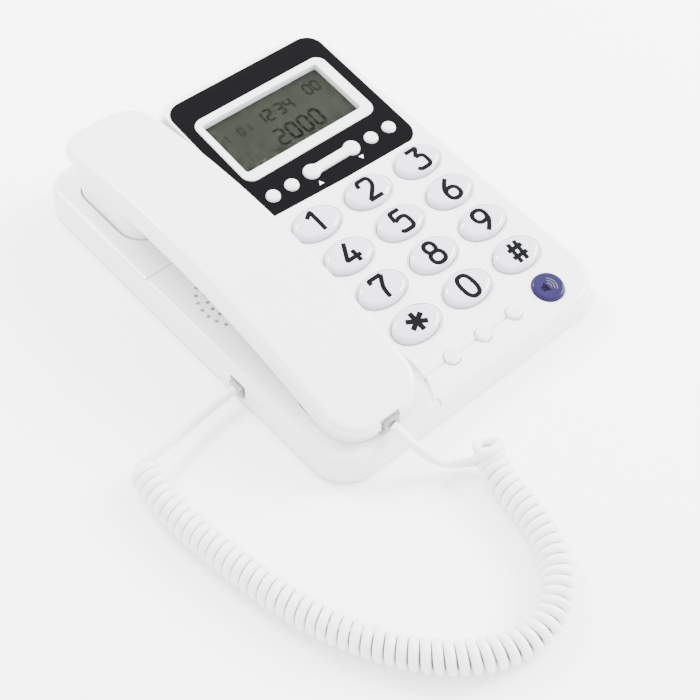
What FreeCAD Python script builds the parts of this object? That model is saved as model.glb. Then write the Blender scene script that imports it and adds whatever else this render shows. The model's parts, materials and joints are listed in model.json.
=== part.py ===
import FreeCAD, Part
import math
import os

from FreeCAD import Placement, Rotation, Vector

# Corded desk telephone with big keys, a tilted display and a handset on a curly cord.
# Millimetres. Parts are built in desk coordinates: x from the left edge of the base, y from its
# front edge, z up from the table. export() moves them so that the origin is the bottom centre.

# ---- base ----
BASE_WIDTH = 162.0
BASE_DEPTH = 230.0
BASE_CORNER = 18.0
FOOT_STANDOFF = 1.2          # gap between the table and the casing
SHELL_WALL = 2.2
PARTING_HEIGHT = 5.0         # joint between the lower and the upper casing
SIDE_LEAN = 0.24             # how far a side wall leans in, per millimetre of height
FRONT_LEAN = 0.06
REAR_LEAN = 0.684            # the slope behind the display
SLAB_LEAN = 0.06
RIM_ROUND = 4.2              # rounding along the rim of the cradle slab
DECK_ROUND = 3.2             # rounding along the edge of the sloping deck
DECK_FRONT = 14.5            # height of the deck plane over the front edge
DECK_TILT = 9.5              # degrees
CRADLE_FLOOR = 15.0
CRADLE_WALL = 56.5           # left wall of the deck, beside the handset
REAR_TOP_CORNER = 8.0

# ---- clearances ----
RUN_GAP = 0.3                # between bodies that move past each other
SEAT_GAP = 0.15              # between pieces that sit in each other
REST_GAP = 0.3               # under a piece that rests on another

# ---- keypad ----
KEY_FIRST_X = 73.8
KEY_FIRST_Y = 35.4
KEY_PITCH_X = 30.85
KEY_PITCH_Y = 22.1
KEY_HALF_LENGTH = 12.3
KEY_HALF_DEPTH = 8.3
KEY_RISE = 2.6               # top of the dome over the deck
KEY_FLANGE = 1.0
KEY_FLANGE_THICK = 1.2
WELL_MARGIN = 1.3            # width of the dished ring round a key
WELL_SINK = 0.8
MEMBRANE_THICK = 1.2
BOARD_THICK = 1.6

# ---- small buttons in the deck ----
FUNCTION_FIRST_X = 75.0
FUNCTION_PITCH = 18.7
FUNCTION_Y = 14.0
FUNCTION_DIAMETER = 7.4
FUNCTION_RISE = 1.5
SPEAKER_BUTTON_X = 134.5
SPEAKER_BUTTON_Y = 14.2
SPEAKER_BUTTON_DIAMETER = 15.2
SPEAKER_BUTTON_RISE = 1.6
GROOVE_WIDTH = 1.2
GROOVE_DEPTH = 0.6

# ---- display ----
PANEL_LEFT = 57.6
PANEL_RIGHT = 148.2
PANEL_FRONT_LEFT = 117.0     # the front edge bows from left to right
PANEL_FRONT_MIDDLE = 114.4
PANEL_FRONT_RIGHT = 113.2
PANEL_BACK = 195.2
PANEL_CORNER = 8.5
PANEL_THICK = 1.6
PANEL_PROUD = 0.3
FRAME_LEFT = 63.1
FRAME_RIGHT = 141.9
FRAME_FRONT = 137.0
FRAME_BACK = 181.3
FRAME_CORNER = 5.5
FRAME_PROUD = 0.9
WINDOW_LEFT = 66.5
WINDOW_RIGHT = 136.2
WINDOW_FRONT = 142.5
WINDOW_BACK = 177.1
WINDOW_SINK = 1.1
WINDOW_THICK = 1.2
LCD_THICK = 2.4
LCD_MARGIN = 2.6
PANEL_BUTTON_X = (68.0, 78.9, 127.5, 138.8)
PANEL_BUTTON_Y = 125.5
PANEL_BUTTON_DIAMETER = 7.0
PANEL_BUTTON_RISE = 1.6
ROCKER_X = 103.4
ROCKER_Y = 126.0
ROCKER_END_SPACING = 24.4
ROCKER_END_DIAMETER = 8.4
ROCKER_WAIST = 5.4
ROCKER_RISE = 2.0
ROCKER_BLEND = 4.0
ROCKER_ROUND = 1.6

# ---- handset ----
HANDSET_LEFT = 8.5
HANDSET_RIGHT = 53.9
HANDSET_FRONT = 4.6
HANDSET_BACK = 217.0
HANDSET_CORNER = 16.5
ARCH_RADIUS = 355.0
LIP_FRONT = 19.4             # height of the outer shell's lower edge at the front end
LIP_BACK = 38.0
CAP_SIDE = 4.4               # height of the outer shell's side
CAP_ROUND = 3.0
CAP_WALL = 2.0
GRIP_DEPTH = 11.0
GRIP_INSET = 1.4
EAR_LEFT = 11.8
EAR_FRONT = 158.5
EAR_BACK = 215.2
EAR_CORNER = 13.5
WELL_DEPTH_EAR = 3.0
MOUTH_FRONT = 13.5
MOUTH_BACK = 50.0
MOUTH_CORNER = 14.0
WELL_DEPTH_MOUTH = 6.0
WELL_GAP = 0.9               # round each cup in its well
MOUTH_DISC_RADIUS = 28.7
MOUTH_DISC_Y = 21.0
CRADLE_SEAM_Y = 139.0

# ---- loudspeaker grille ----
GRILLE_X = 33.4
GRILLE_Y = 105.3
GRILLE_RINGS = (5.2, 9.3, 13.5, 17.6, 21.7)
GRILLE_SPACING = 4.7
GRILLE_HOLE = 2.0
SPEAKER_DIAMETER = 50.0
SPEAKER_DEPTH = 6.0

# ---- modular sockets and cord ----
PLUG_WIDTH = 7.65
PLUG_HEIGHT = 6.2
PLUG_LENGTH = 11.0
SOCKET_WALL = 1.1
SOCKET_DEPTH = 13.5
SOCKET_Y = 68.0
SOCKET_Z = 7.6
HANDSET_SOCKET_Z = 20.1
LINE_PLUG_WIDTH = 9.65
LINE_SOCKET_X = 118.0
LINE_SOCKET_Z = 7.8
CORD_DIAMETER = 4.0
COIL_DIAMETER = 13.8

# ---- hook switch ----
HOOK_X = 31.2
HOOK_Y = 196.0
HOOK_LENGTH = 14.0
HOOK_WIDTH = 6.0

# ---- feet, screws, batteries, ringer switch ----
FOOT_DIAMETER = 11.0
FOOT_THICK = 2.2
FOOT_INSET = 20.0
SCREW_SHANK = 3.0
SCREW_HEAD = 5.6
BATTERY_LEFT = 84.0
BATTERY_FRONT = 126.0
BATTERY_WIDTH = 48.0
BATTERY_LENGTH = 58.0
BATTERY_DEPTH = 17.0
RINGER_X = 88.0
RINGER_TRAVEL = 4.0

# ---- the cord's route ----
LEAD_BASE_ROUTE = [
    (-1.2, 68.0, 7.6), (-12.0, 67.5, 6.6), (-25.0, 66.0, 6.9), (-38.0, 63.6, 8.4), (-50.0, 60.4, 10.2),
]
COIL_ROUTE = [
    (-53.6, 62.5, 7.0), (-56.3, 47.0, 7.0), (-55.4, 27.0, 7.0), (-52.3, 5.0, 7.0), (-48.2, -18.0, 7.0),
    (-42.0, -40.0, 7.0), (-32.0, -60.5, 7.0), (-19.5, -78.0, 7.0), (-3.0, -90.8, 7.0), (16.5, -95.4, 7.0),
    (33.0, -88.5, 7.0), (44.0, -75.0, 7.0), (49.6, -58.0, 7.0), (51.6, -41.0, 7.3), (55.2, -28.6, 9.8),
    (55.6, -24.6, 15.6),
]
LEAD_HANDSET_ROUTE = [
    (31.2, 2.7, 20.0), (31.6, -4.6, 18.6), (34.4, -11.6, 12.6), (39.6, -17.4, 6.4), (47.4, -21.8, 4.2),
    (54.0, -27.6, 5.0),
]

SLAB_OVERLAP = 12.0
SLAB_JOIN_CORNER = 4.5
SLAB_REAR_CORNER = 10.0
BASE_SCREWS = ((8.5, 146.0), (8.5, 54.0), (153.0, 60.0), (153.0, 170.0))
BOSS_DIAMETER = 7.0
PAD_DIAMETER = 9.0
PAD_TOP = 5.4
SCREW_BITE = 6.0
POST_DIAMETER = 4.0
BOARD_POSTS = ((65.2, 20.0), (142.5, 112.2), (67.2, 112.2), (142.5, 23.6), (61.6, 176.0), (144.5, 176.0))
KEYPAD_BOARD = (62.6, 7.5, 147.5, 114.0)
DISPLAY_BOARD = (59.5, 118.0, 146.5, 184.0)
KEYPAD_BOARD_DEPTH = 7.0
HOLDER_FLOOR = 1.4
KEY_STEM_DEPTH = 4.9
BUTTON_STEM_DEPTH = 5.4
STEM_SHARE = 0.66
ROCKER_SWING = 0.9
MAIN_BOARD = (66.0, 24.0, 146.0, 116.0)
MAIN_BOARD_Z = 4.4
MAIN_BOARD_POSTS = ((70.0, 28.0), (142.0, 28.0), (70.0, 112.0), (142.0, 112.0))
TRAY_THICK = 2.0
RETAINER_THICK = 1.4
BATTERY_DOOR_THICK = 2.0
CELL_DIAMETER = 14.3
CELL_LENGTH = 50.3
BASE_MIC_X = 120.0
BASE_MIC_Y = 12.0
HOOK_BOTTOM = 4.0
LINE_SOCKET_INNER_Y = 206.0
RINGER_Z = 11.0
RINGER_HALF = 2.5
RINGER_HALF_HEIGHT = 1.8
RINGER_FLANGE_Y = 217.0
KEYHOLE_X = 36.0
KEYHOLE_Y = 66.0
KEYHOLE_SPACING = 100.0
KEYHOLE_HEAD = 9.0
KEYHOLE_SLOT = 4.5
KEYHOLE_LENGTH = 11.0
HANDSET_SCREWS = (66.0, 152.0)
WEIGHT_FRONT = 82.0
WEIGHT_BACK = 134.0
BATTERY_SCREW_INSET = 3.5
MIC_Y = 34.0

EAR_RIGHT = HANDSET_LEFT + HANDSET_RIGHT - EAR_LEFT
EAR_CENTRE_Y = (EAR_FRONT + EAR_BACK) / 2
EAR_WELL_FLOOR = CRADLE_FLOOR - WELL_DEPTH_EAR
MOUTH_WELL_FLOOR = CRADLE_FLOOR - WELL_DEPTH_MOUTH

DECK_SLOPE = math.tan(math.radians(DECK_TILT))
HANDSET_X = (HANDSET_LEFT + HANDSET_RIGHT) / 2
SHELL_BOTTOM = FOOT_STANDOFF
SHELL_INNER = FOOT_STANDOFF + SHELL_WALL
TALL = 70.0                  # higher than any point of the base


# ---------------------------------------------------------------- helpers
def rounded_rect(x0, y0, x1, y1, radius, z=0.0):
    """Closed wire; radius is one value or (front left, front right, back right, back left)."""
    radii = radius if isinstance(radius, tuple) else (radius,) * 4
    corners = ((x0, y0, 1, 1, 180), (x1, y0, -1, 1, 270), (x1, y1, -1, -1, 0), (x0, y1, 1, -1, 90))
    arcs = []
    for (x, y, side_x, side_y, start), r in zip(corners, radii):
        centre = Vector(x + side_x * r, y + side_y * r, z)
        circle = Part.Circle(centre, Vector(0, 0, 1), r)
        arcs.append(circle.toShape(math.radians(start), math.radians(start + 90)))
    edges = []
    for i, arc in enumerate(arcs):
        edges.append(arc)
        after = arcs[(i + 1) % 4]
        edges.append(Part.makeLine(arc.lastVertex().Point, after.firstVertex().Point))
    return Part.Wire(edges)


def prism(wire, z0, z1):
    """Solid between two heights over a flat wire drawn at z = 0."""
    face = Part.Face(wire)
    face.translate(Vector(0, 0, z0))
    return face.extrude(Vector(0, 0, z1 - z0))


def rounded_prism(x0, y0, x1, y1, radius, z0, z1):
    return prism(rounded_rect(x0, y0, x1, y1, radius), z0, z1)


def ellipse_wire(x, y, half_x, half_y, z=0.0):
    curve = Part.Ellipse(Vector(x, y, z), half_x, half_y)
    return Part.Wire(curve.toShape())


def ellipse_prism(x, y, half_x, half_y, z0, z1):
    return prism(ellipse_wire(x, y, half_x, half_y), z0, z1)


def box(x0, y0, z0, x1, y1, z1):
    return Part.makeBox(x1 - x0, y1 - y0, z1 - z0, Vector(x0, y0, z0))


def disc(x, y, diameter, z0, z1):
    return Part.makeCylinder(diameter / 2, z1 - z0, Vector(x, y, z0))


def one(shape):
    """The single solid in a boolean's result."""
    solids = shape.Solids
    assert len(solids) == 1, "expected one solid, got %d" % len(solids)
    return solids[0]


def fuse(first, *others):
    return first.multiFuse(list(others)).removeSplitter()


DECK = Placement(Vector(0, 0, DECK_FRONT), Rotation(Vector(1, 0, 0), DECK_TILT))


def on_deck(shape):
    """Moves a shape from the deck's own frame (x, distance up the slope, height over the deck)."""
    placed = shape.copy()
    placed.Placement = DECK.multiply(placed.Placement)
    return placed


def up_slope(y):
    """Distance up the deck's slope to the point over desk coordinate y."""
    return y / math.cos(math.radians(DECK_TILT))


def deck_height(y):
    return DECK_FRONT + DECK_SLOPE * y


def export(name, shape):
    """Writes one node, moved so that the origin is the bottom centre of the base."""
    moved = shape.copy()
    moved.translate(Vector(-BASE_WIDTH / 2, -BASE_DEPTH / 2, 0))
    assert moved.isValid(), name
    moved.exportStep("parts/%s.step" % name)


# ---------------------------------------------------------------- base casing
def leaning_block(x0, y0, x1, y1, radii, z0, z1, leans):
    """Block whose sides lean in: leans are (left, front, right, rear), per millimetre of height."""
    left, front, right, rear = leans
    wires = []
    for z in (z0, z1):
        rise = z - FOOT_STANDOFF
        wires.append(rounded_rect(x0 + left * rise, y0 + front * rise, x1 - right * rise, y1 - rear * rise,
                                  radii, z))
    return Part.makeLoft(wires, True, True)


def edges_where(shape, test):
    """Edges whose ends and middle all pass the test."""
    found = []
    for edge in shape.Edges:
        middle = edge.valueAt((edge.FirstParameter + edge.LastParameter) / 2)
        if all(test(p) for p in [v.Point for v in edge.Vertexes] + [middle]):
            found.append(edge)
    return found


def below_deck(depth):
    """Everything lower than a plane that lies depth under the deck."""
    return on_deck(box(-60, -60, -160, BASE_WIDTH + 60, BASE_DEPTH + 60, -depth))


def slab(inset):
    """The low block under the handset."""
    bottom = SHELL_INNER if inset else SHELL_BOTTOM
    radii = (BASE_CORNER - inset, SLAB_JOIN_CORNER - inset, SLAB_REAR_CORNER - inset, BASE_CORNER - inset)
    return leaning_block(inset, inset, CRADLE_WALL + SLAB_OVERLAP - inset, BASE_DEPTH - inset, radii,
                         bottom, CRADLE_FLOOR - inset, (SLAB_LEAN, SLAB_LEAN, 0.0, SLAB_LEAN))


def wedge(inset, left):
    """The block under the deck, from x = left to the right side."""
    slope_inset = inset * math.sqrt(1 + REAR_LEAN ** 2)
    outer = BASE_CORNER - inset
    radii = (SLAB_JOIN_CORNER - inset, outer, outer, REAR_TOP_CORNER)
    bottom = SHELL_INNER if inset else SHELL_BOTTOM
    block = leaning_block(left + inset, inset, BASE_WIDTH - inset, BASE_DEPTH - slope_inset, radii,
                          bottom, TALL, (0.0, FRONT_LEAN, SIDE_LEAN, REAR_LEAN))
    return one(block.common(below_deck(inset)))


def right_of_cradle():
    """Everything right of the wall beside the handset, with its leaning, rounded rear corner."""
    return leaning_block(CRADLE_WALL, -60, BASE_WIDTH + 60, BASE_DEPTH, (1.0, 1.0, 1.0, REAR_TOP_CORNER),
                         SHELL_BOTTOM, TALL, (0.0, 0.0, 0.0, REAR_LEAN))


def on_deck_plane(point):
    return abs(point.z - deck_height(point.y)) < 0.01


def mouth_disc(clearance, z0, z1):
    return disc(HANDSET_X, MOUTH_DISC_Y, 2 * (MOUTH_DISC_RADIUS + clearance), z0, z1)


def base_outside():
    low = slab(0.0)
    low = low.makeFillet(RIM_ROUND, edges_where(low, lambda p: abs(p.z - CRADLE_FLOOR) < 0.01))
    high = wedge(0.0, CRADLE_WALL - SLAB_OVERLAP)
    high = high.makeFillet(DECK_ROUND, edges_where(high, on_deck_plane))
    high = high.common(right_of_cradle()).cut(mouth_disc(0.0, CRADLE_FLOOR, TALL))
    return one(fuse(low, high))


def base_inside():
    room = fuse(slab(SHELL_WALL), wedge(SHELL_WALL, CRADLE_WALL))
    return one(room.cut(mouth_disc(SHELL_WALL, CRADLE_FLOOR - SHELL_WALL, TALL)))


def above(z):
    return box(-60, -60, z, BASE_WIDTH + 60, BASE_DEPTH + 60, TALL)


def ear_outline(margin, z0, z1):
    return rounded_prism(EAR_LEFT - margin, EAR_FRONT - margin, EAR_RIGHT + margin, EAR_BACK + margin,
                         EAR_CORNER + margin, z0, z1)


def mouth_outline(margin, z0, z1):
    return rounded_prism(EAR_LEFT - margin, MOUTH_FRONT - margin, EAR_RIGHT + margin, MOUTH_BACK + margin,
                         MOUTH_CORNER + margin, z0, z1)


def key_places():
    """Centre of each key with its node name, front row first."""
    names = (("key_star", "key_0", "key_hash"), ("key_7", "key_8", "key_9"), ("key_4", "key_5", "key_6"),
             ("key_1", "key_2", "key_3"))
    for row, row_names in enumerate(names):
        for column, name in enumerate(row_names):
            yield name, KEY_FIRST_X + column * KEY_PITCH_X, up_slope(KEY_FIRST_Y + row * KEY_PITCH_Y)


def round_buttons():
    """Node name, centre, diameter and rise of every round button of the deck and the panel."""
    for i in range(3):
        yield ("function_button_%d" % (i + 1), FUNCTION_FIRST_X + i * FUNCTION_PITCH, up_slope(FUNCTION_Y),
               FUNCTION_DIAMETER, FUNCTION_RISE)
    yield ("speaker_button", SPEAKER_BUTTON_X, up_slope(SPEAKER_BUTTON_Y), SPEAKER_BUTTON_DIAMETER,
           SPEAKER_BUTTON_RISE)
    for i, x in enumerate(PANEL_BUTTON_X):
        yield ("panel_button_%d" % (i + 1), x, up_slope(PANEL_BUTTON_Y), PANEL_BUTTON_DIAMETER,
               PANEL_BUTTON_RISE)


def rocker_outline(margin, w0, w1):
    """Dog-bone outline: two discs and a waist."""
    v = up_slope(ROCKER_Y)
    left = ROCKER_X - ROCKER_END_SPACING / 2
    right = ROCKER_X + ROCKER_END_SPACING / 2
    size = ROCKER_END_DIAMETER + 2 * margin
    half = ROCKER_WAIST / 2 + margin
    return fuse(disc(left, v, size, w0, w1), disc(right, v, size, w0, w1),
                box(left, v - half, w0, right, v + half, w1))


def panel_prism(margin, w0, w1):
    """The panel's outline: straight sides, a back edge and a slanting front edge."""
    x0 = PANEL_LEFT - margin
    x1 = PANEL_RIGHT + margin
    plate = rounded_prism(x0, up_slope(PANEL_FRONT_RIGHT) - margin, x1, up_slope(PANEL_BACK) + margin,
                          PANEL_CORNER + margin, w0, w1)
    front = [Vector(x0 - 5, up_slope(PANEL_FRONT_LEFT) - margin, 0),
             Vector((x0 + x1) / 2, up_slope(PANEL_FRONT_MIDDLE) - margin, 0),
             Vector(x1 + 5, up_slope(PANEL_FRONT_RIGHT) - margin, 0)]
    back = up_slope(PANEL_BACK) + 20
    corners = front + [Vector(x1 + 5, back, 0), Vector(x0 - 5, back, 0)]
    return one(plate.common(prism(Part.makePolygon(corners + [corners[0]]), w0, w1)))


def frame_prism(margin, w0, w1):
    return rounded_prism(FRAME_LEFT - margin, up_slope(FRAME_FRONT) - margin, FRAME_RIGHT + margin,
                         up_slope(FRAME_BACK) + margin, FRAME_CORNER + margin, w0, w1)


def window_prism(margin, w0, w1):
    return rounded_prism(WINDOW_LEFT - margin, up_slope(WINDOW_FRONT) - margin, WINDOW_RIGHT + margin,
                         up_slope(WINDOW_BACK) + margin, 1.5 + max(margin, -1.0), w0, w1)


def grille_holes():
    z0 = CRADLE_FLOOR - SHELL_WALL - 1
    holes = [disc(GRILLE_X, GRILLE_Y, GRILLE_HOLE, z0, CRADLE_FLOOR + 1)]
    for radius in GRILLE_RINGS:
        count = int(round(2 * math.pi * radius / GRILLE_SPACING))
        for i in range(count):
            angle = 2 * math.pi * i / count
            holes.append(disc(GRILLE_X + radius * math.cos(angle), GRILLE_Y + radius * math.sin(angle),
                              GRILLE_HOLE, z0, CRADLE_FLOOR + 1))
    return holes


def deck_tools():
    """Everything cut through the deck, in the deck's own frame."""
    tools = []
    for _, x, v in key_places():
        tools.append(ellipse_prism(x, v, KEY_HALF_LENGTH + WELL_MARGIN, KEY_HALF_DEPTH + WELL_MARGIN,
                                   -WELL_SINK, 5))
        tools.append(ellipse_prism(x, v, KEY_HALF_LENGTH + RUN_GAP, KEY_HALF_DEPTH + RUN_GAP, -5, 5))
    for _, x, v, diameter, _ in round_buttons():
        tools.append(disc(x, v, diameter + 2 * RUN_GAP, -5, 5))
    tools.append(rocker_outline(RUN_GAP, -5, 5))
    tools.append(panel_prism(SEAT_GAP, PANEL_PROUD - PANEL_THICK, 5))
    tools.append(window_prism(SEAT_GAP, -5, 5))
    return tools


def deck_grooves():
    """The engraved arc round the mouth end and the line through the small buttons."""
    ring = mouth_disc(GROOVE_WIDTH / 2, 0, TALL).cut(mouth_disc(-GROOVE_WIDTH / 2, 0, TALL))
    ring = ring.common(box(46, -5, 0, 75, FUNCTION_Y, TALL))
    start = HANDSET_X + MOUTH_DISC_RADIUS - 0.6
    stop = FUNCTION_FIRST_X + 2 * FUNCTION_PITCH
    v = up_slope(FUNCTION_Y)
    line = on_deck(box(start, v - GROOVE_WIDTH / 2, -GROOVE_DEPTH, stop, v + GROOVE_WIDTH / 2, 5))
    floor = box(0, -10, CRADLE_FLOOR - GROOVE_DEPTH, BASE_WIDTH, 30, TALL).common(ring)
    seam = box(4, CRADLE_SEAM_Y, CRADLE_FLOOR - GROOVE_DEPTH, CRADLE_WALL,
               CRADLE_SEAM_Y + GROOVE_WIDTH, TALL)
    return [line, floor, seam.cut(box(CRADLE_WALL, 0, 0, 200, 300, TALL))]


def socket_hole():
    half = PLUG_WIDTH / 2 + SEAT_GAP + SOCKET_WALL
    high = PLUG_HEIGHT / 2 + SOCKET_WALL
    return box(-5, SOCKET_Y - half, SOCKET_Z - high, SOCKET_DEPTH + 2.6, SOCKET_Y + half, SOCKET_Z + high)


def line_socket_hole():
    half = LINE_PLUG_WIDTH / 2 + SEAT_GAP + SOCKET_WALL
    high = PLUG_HEIGHT / 2 + SOCKET_WALL
    return box(LINE_SOCKET_X - half, LINE_SOCKET_INNER_Y, LINE_SOCKET_Z - high, LINE_SOCKET_X + half,
               BASE_DEPTH + 5, LINE_SOCKET_Z + high)


def ringer_slot():
    return box(RINGER_X - RINGER_HALF - RUN_GAP, RINGER_FLANGE_Y, RINGER_Z - RINGER_HALF_HEIGHT - RUN_GAP,
               RINGER_X + RINGER_HALF + RINGER_TRAVEL + RUN_GAP, BASE_DEPTH + 5,
               RINGER_Z + RINGER_HALF_HEIGHT + RUN_GAP)


def hook_hole():
    half_x = HOOK_LENGTH / 2 + RUN_GAP
    half_y = HOOK_WIDTH / 2 + RUN_GAP
    return box(HOOK_X - half_x, HOOK_Y - half_y, 0, HOOK_X + half_x, HOOK_Y + half_y, CRADLE_FLOOR)


def screw_bosses():
    return [disc(x, y, BOSS_DIAMETER, PAD_TOP, TALL) for x, y in BASE_SCREWS]


def board_posts():
    """Posts hanging from the deck down to the two boards."""
    posts = []
    for x, y in BOARD_POSTS:
        posts.append(disc(x, up_slope(y), POST_DIAMETER, -KEYPAD_BOARD_DEPTH, -SHELL_WALL / 2))
    return [on_deck(post) for post in posts]


def base_top_shell(outside, inside):
    shell = outside.common(above(PARTING_HEIGHT)).cut(inside)
    ear_tray = ear_outline(WELL_GAP + SHELL_WALL, EAR_WELL_FLOOR - TRAY_THICK, CRADLE_FLOOR - SHELL_WALL)
    mouth_tray = mouth_outline(WELL_GAP + SHELL_WALL, MOUTH_WELL_FLOOR - TRAY_THICK,
                               CRADLE_FLOOR - SHELL_WALL)
    extras = [piece.common(outside) for piece in [ear_tray, mouth_tray] + screw_bosses() + board_posts()]
    shell = fuse(shell, *extras)
    cuts = [ear_outline(WELL_GAP, EAR_WELL_FLOOR, TALL), mouth_outline(WELL_GAP, MOUTH_WELL_FLOOR, TALL)]
    cuts += [on_deck(tool) for tool in deck_tools()]
    cuts += grille_holes()
    cuts += deck_grooves()
    cuts += [socket_hole(), line_socket_hole(), ringer_slot(), hook_hole()]
    cuts += [disc(x, y, SCREW_SHANK, 0, PAD_TOP + SCREW_BITE) for x, y in BASE_SCREWS]
    return one(shell.cut(Part.makeCompound(cuts)))


def battery_bay(margin, z0, z1):
    return box(BATTERY_LEFT - margin, BATTERY_FRONT - margin, z0, BATTERY_LEFT + BATTERY_WIDTH + margin,
               BATTERY_FRONT + BATTERY_LENGTH + margin, z1)


def foot_places():
    for x in (FOOT_INSET, BASE_WIDTH - FOOT_INSET):
        for y in (FOOT_INSET, BASE_DEPTH - FOOT_INSET):
            yield x, y


def base_bottom_shell(outside, inside):
    shell = outside.cut(above(PARTING_HEIGHT)).cut(inside)
    walls = battery_bay(SHELL_WALL, SHELL_BOTTOM, SHELL_BOTTOM + BATTERY_DEPTH + SHELL_WALL)
    pads = [disc(x, y, PAD_DIAMETER, SHELL_BOTTOM, PAD_TOP) for x, y in BASE_SCREWS]
    stands = [disc(x, y, POST_DIAMETER, SHELL_BOTTOM, MAIN_BOARD_Z) for x, y in MAIN_BOARD_POSTS]
    foot_pads = [disc(x, y, FOOT_DIAMETER + 3, SHELL_BOTTOM, SHELL_INNER + 0.8) for x, y in foot_places()]
    shell = fuse(shell, walls, *(pads + stands + foot_pads))
    cuts = [battery_bay(0.0, 0, SHELL_BOTTOM + BATTERY_DEPTH), socket_hole(), line_socket_hole()]
    cuts += [disc(x, y, FOOT_DIAMETER, 0, FOOT_THICK) for x, y in foot_places()]
    for x, y in BASE_SCREWS:
        cuts.append(disc(x, y, SCREW_SHANK + 0.4, 0, TALL))
        cuts.append(disc(x, y, SCREW_HEAD + 0.6, 0, SHELL_INNER))
    cuts.append(disc(BASE_MIC_X, BASE_MIC_Y, GRILLE_HOLE, 0, SHELL_INNER))
    cuts += wall_keyholes()
    return one(shell.cut(Part.makeCompound(cuts)))


def wall_keyholes():
    """Two keyhole slots in the underside for hanging the base on a wall."""
    cuts = []
    for y in (KEYHOLE_Y, KEYHOLE_Y + KEYHOLE_SPACING):
        cuts.append(disc(KEYHOLE_X, y, KEYHOLE_HEAD, 0, SHELL_INNER + 1))
        cuts.append(box(KEYHOLE_X - KEYHOLE_SLOT / 2, y, 0, KEYHOLE_X + KEYHOLE_SLOT / 2, y + KEYHOLE_LENGTH,
                        SHELL_INNER + 1))
    return cuts


def rubber_feet():
    return Part.makeCompound([disc(x, y, FOOT_DIAMETER, 0, FOOT_THICK) for x, y in foot_places()])


def screw(x, y, head_bottom, head_top, top):
    body = fuse(disc(x, y, SCREW_HEAD, head_bottom, head_top), disc(x, y, SCREW_SHANK, head_top, top))
    slot = box(x - 0.5, y - 2.0, head_bottom, x + 0.5, y + 2.0, head_bottom + 0.8)
    cross = box(x - 2.0, y - 0.5, head_bottom, x + 2.0, y + 0.5, head_bottom + 0.8)
    return body.cut(slot).cut(cross)


def base_screws():
    return Part.makeCompound([screw(x, y, SHELL_INNER - 1.8, SHELL_INNER, PAD_TOP + SCREW_BITE)
                              for x, y in BASE_SCREWS])


def battery_door():
    plate = battery_bay(-RUN_GAP, SHELL_BOTTOM, SHELL_BOTTOM + BATTERY_DOOR_THICK)
    x = BATTERY_LEFT + BATTERY_WIDTH / 2
    hole = disc(x, BATTERY_FRONT + BATTERY_SCREW_INSET, SCREW_SHANK + 0.4, 0, TALL)
    sink = disc(x, BATTERY_FRONT + BATTERY_SCREW_INSET, SCREW_HEAD + 0.6, 0, SHELL_BOTTOM + 1.0)
    grip = [box(x - 8, BATTERY_FRONT + BATTERY_LENGTH - 6 - 2.4 * i, 0, x + 8,
                BATTERY_FRONT + BATTERY_LENGTH - 5 - 2.4 * i, SHELL_BOTTOM + 0.5) for i in range(3)]
    return plate.cut(Part.makeCompound([hole, sink] + grip))


def battery_door_screw():
    x = BATTERY_LEFT + BATTERY_WIDTH / 2
    sunk = SHELL_BOTTOM + 1.0
    return screw(x, BATTERY_FRONT + BATTERY_SCREW_INSET, sunk - 0.9, sunk,
                 SHELL_BOTTOM + BATTERY_DEPTH)


def battery_cells():
    """Three AA cells side by side."""
    cells = []
    y0 = BATTERY_FRONT + BATTERY_LENGTH - CELL_LENGTH - 1.6
    z = SHELL_BOTTOM + BATTERY_DEPTH - CELL_DIAMETER / 2
    for i in range(3):
        x = BATTERY_LEFT + BATTERY_WIDTH / 2 + (i - 1) * (CELL_DIAMETER + 0.4)
        cell = Part.makeCylinder(CELL_DIAMETER / 2, CELL_LENGTH - 1.0, Vector(x, y0, z), Vector(0, 1, 0))
        tip = Part.makeCylinder(2.7, 1.0, Vector(x, y0 + CELL_LENGTH - 1.0, z), Vector(0, 1, 0))
        cells.append(fuse(cell, tip))
    return Part.makeCompound(cells)


def battery_contacts():
    """Spring plates at both ends of the cells."""
    y1 = BATTERY_FRONT + BATTERY_LENGTH
    z0 = SHELL_BOTTOM + BATTERY_DEPTH - CELL_DIAMETER + 1
    plates = []
    for i in range(3):
        x = BATTERY_LEFT + BATTERY_WIDTH / 2 + (i - 1) * (CELL_DIAMETER + 0.4)
        plates.append(box(x - 5, y1 - 1.6, z0, x + 5, y1, z0 + 12))
    return Part.makeCompound(plates)


# ---------------------------------------------------------------- deck pieces
def deck_button(solid, x, v, half_x, half_y, stem_depth):
    """Fuses a cap to its flange under the deck and its stem."""
    flange = ellipse_prism(x, v, half_x + KEY_FLANGE, half_y + KEY_FLANGE,
                           -SHELL_WALL - RUN_GAP - KEY_FLANGE_THICK, -SHELL_WALL - RUN_GAP)
    stem = ellipse_prism(x, v, half_x * STEM_SHARE, half_y * STEM_SHARE, -stem_depth,
                         -SHELL_WALL - RUN_GAP - KEY_FLANGE_THICK / 2)
    return one(fuse(solid, flange, stem))


def domed_oval(x, v, half_x, half_y, rise):
    """Oval post under the deck's surface with a rounded top that stands proud by rise."""
    post = ellipse_prism(x, v, half_x, half_y, -SHELL_WALL - RUN_GAP - KEY_FLANGE_THICK / 2, rise)
    top = [e for e in post.Edges if e.BoundBox.ZMin > rise - 0.01]
    return post.makeFillet(min(rise, half_y) * 0.9, top)


def key(x, v):
    cap = domed_oval(x, v, KEY_HALF_LENGTH, KEY_HALF_DEPTH, KEY_RISE)
    return deck_button(cap, x, v, KEY_HALF_LENGTH, KEY_HALF_DEPTH, KEY_STEM_DEPTH)


def round_button(x, v, diameter, rise):
    r = diameter / 2
    cap = domed_oval(x, v, r, r - 0.001, rise)
    return deck_button(cap, x, v, r, r, BUTTON_STEM_DEPTH)


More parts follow.
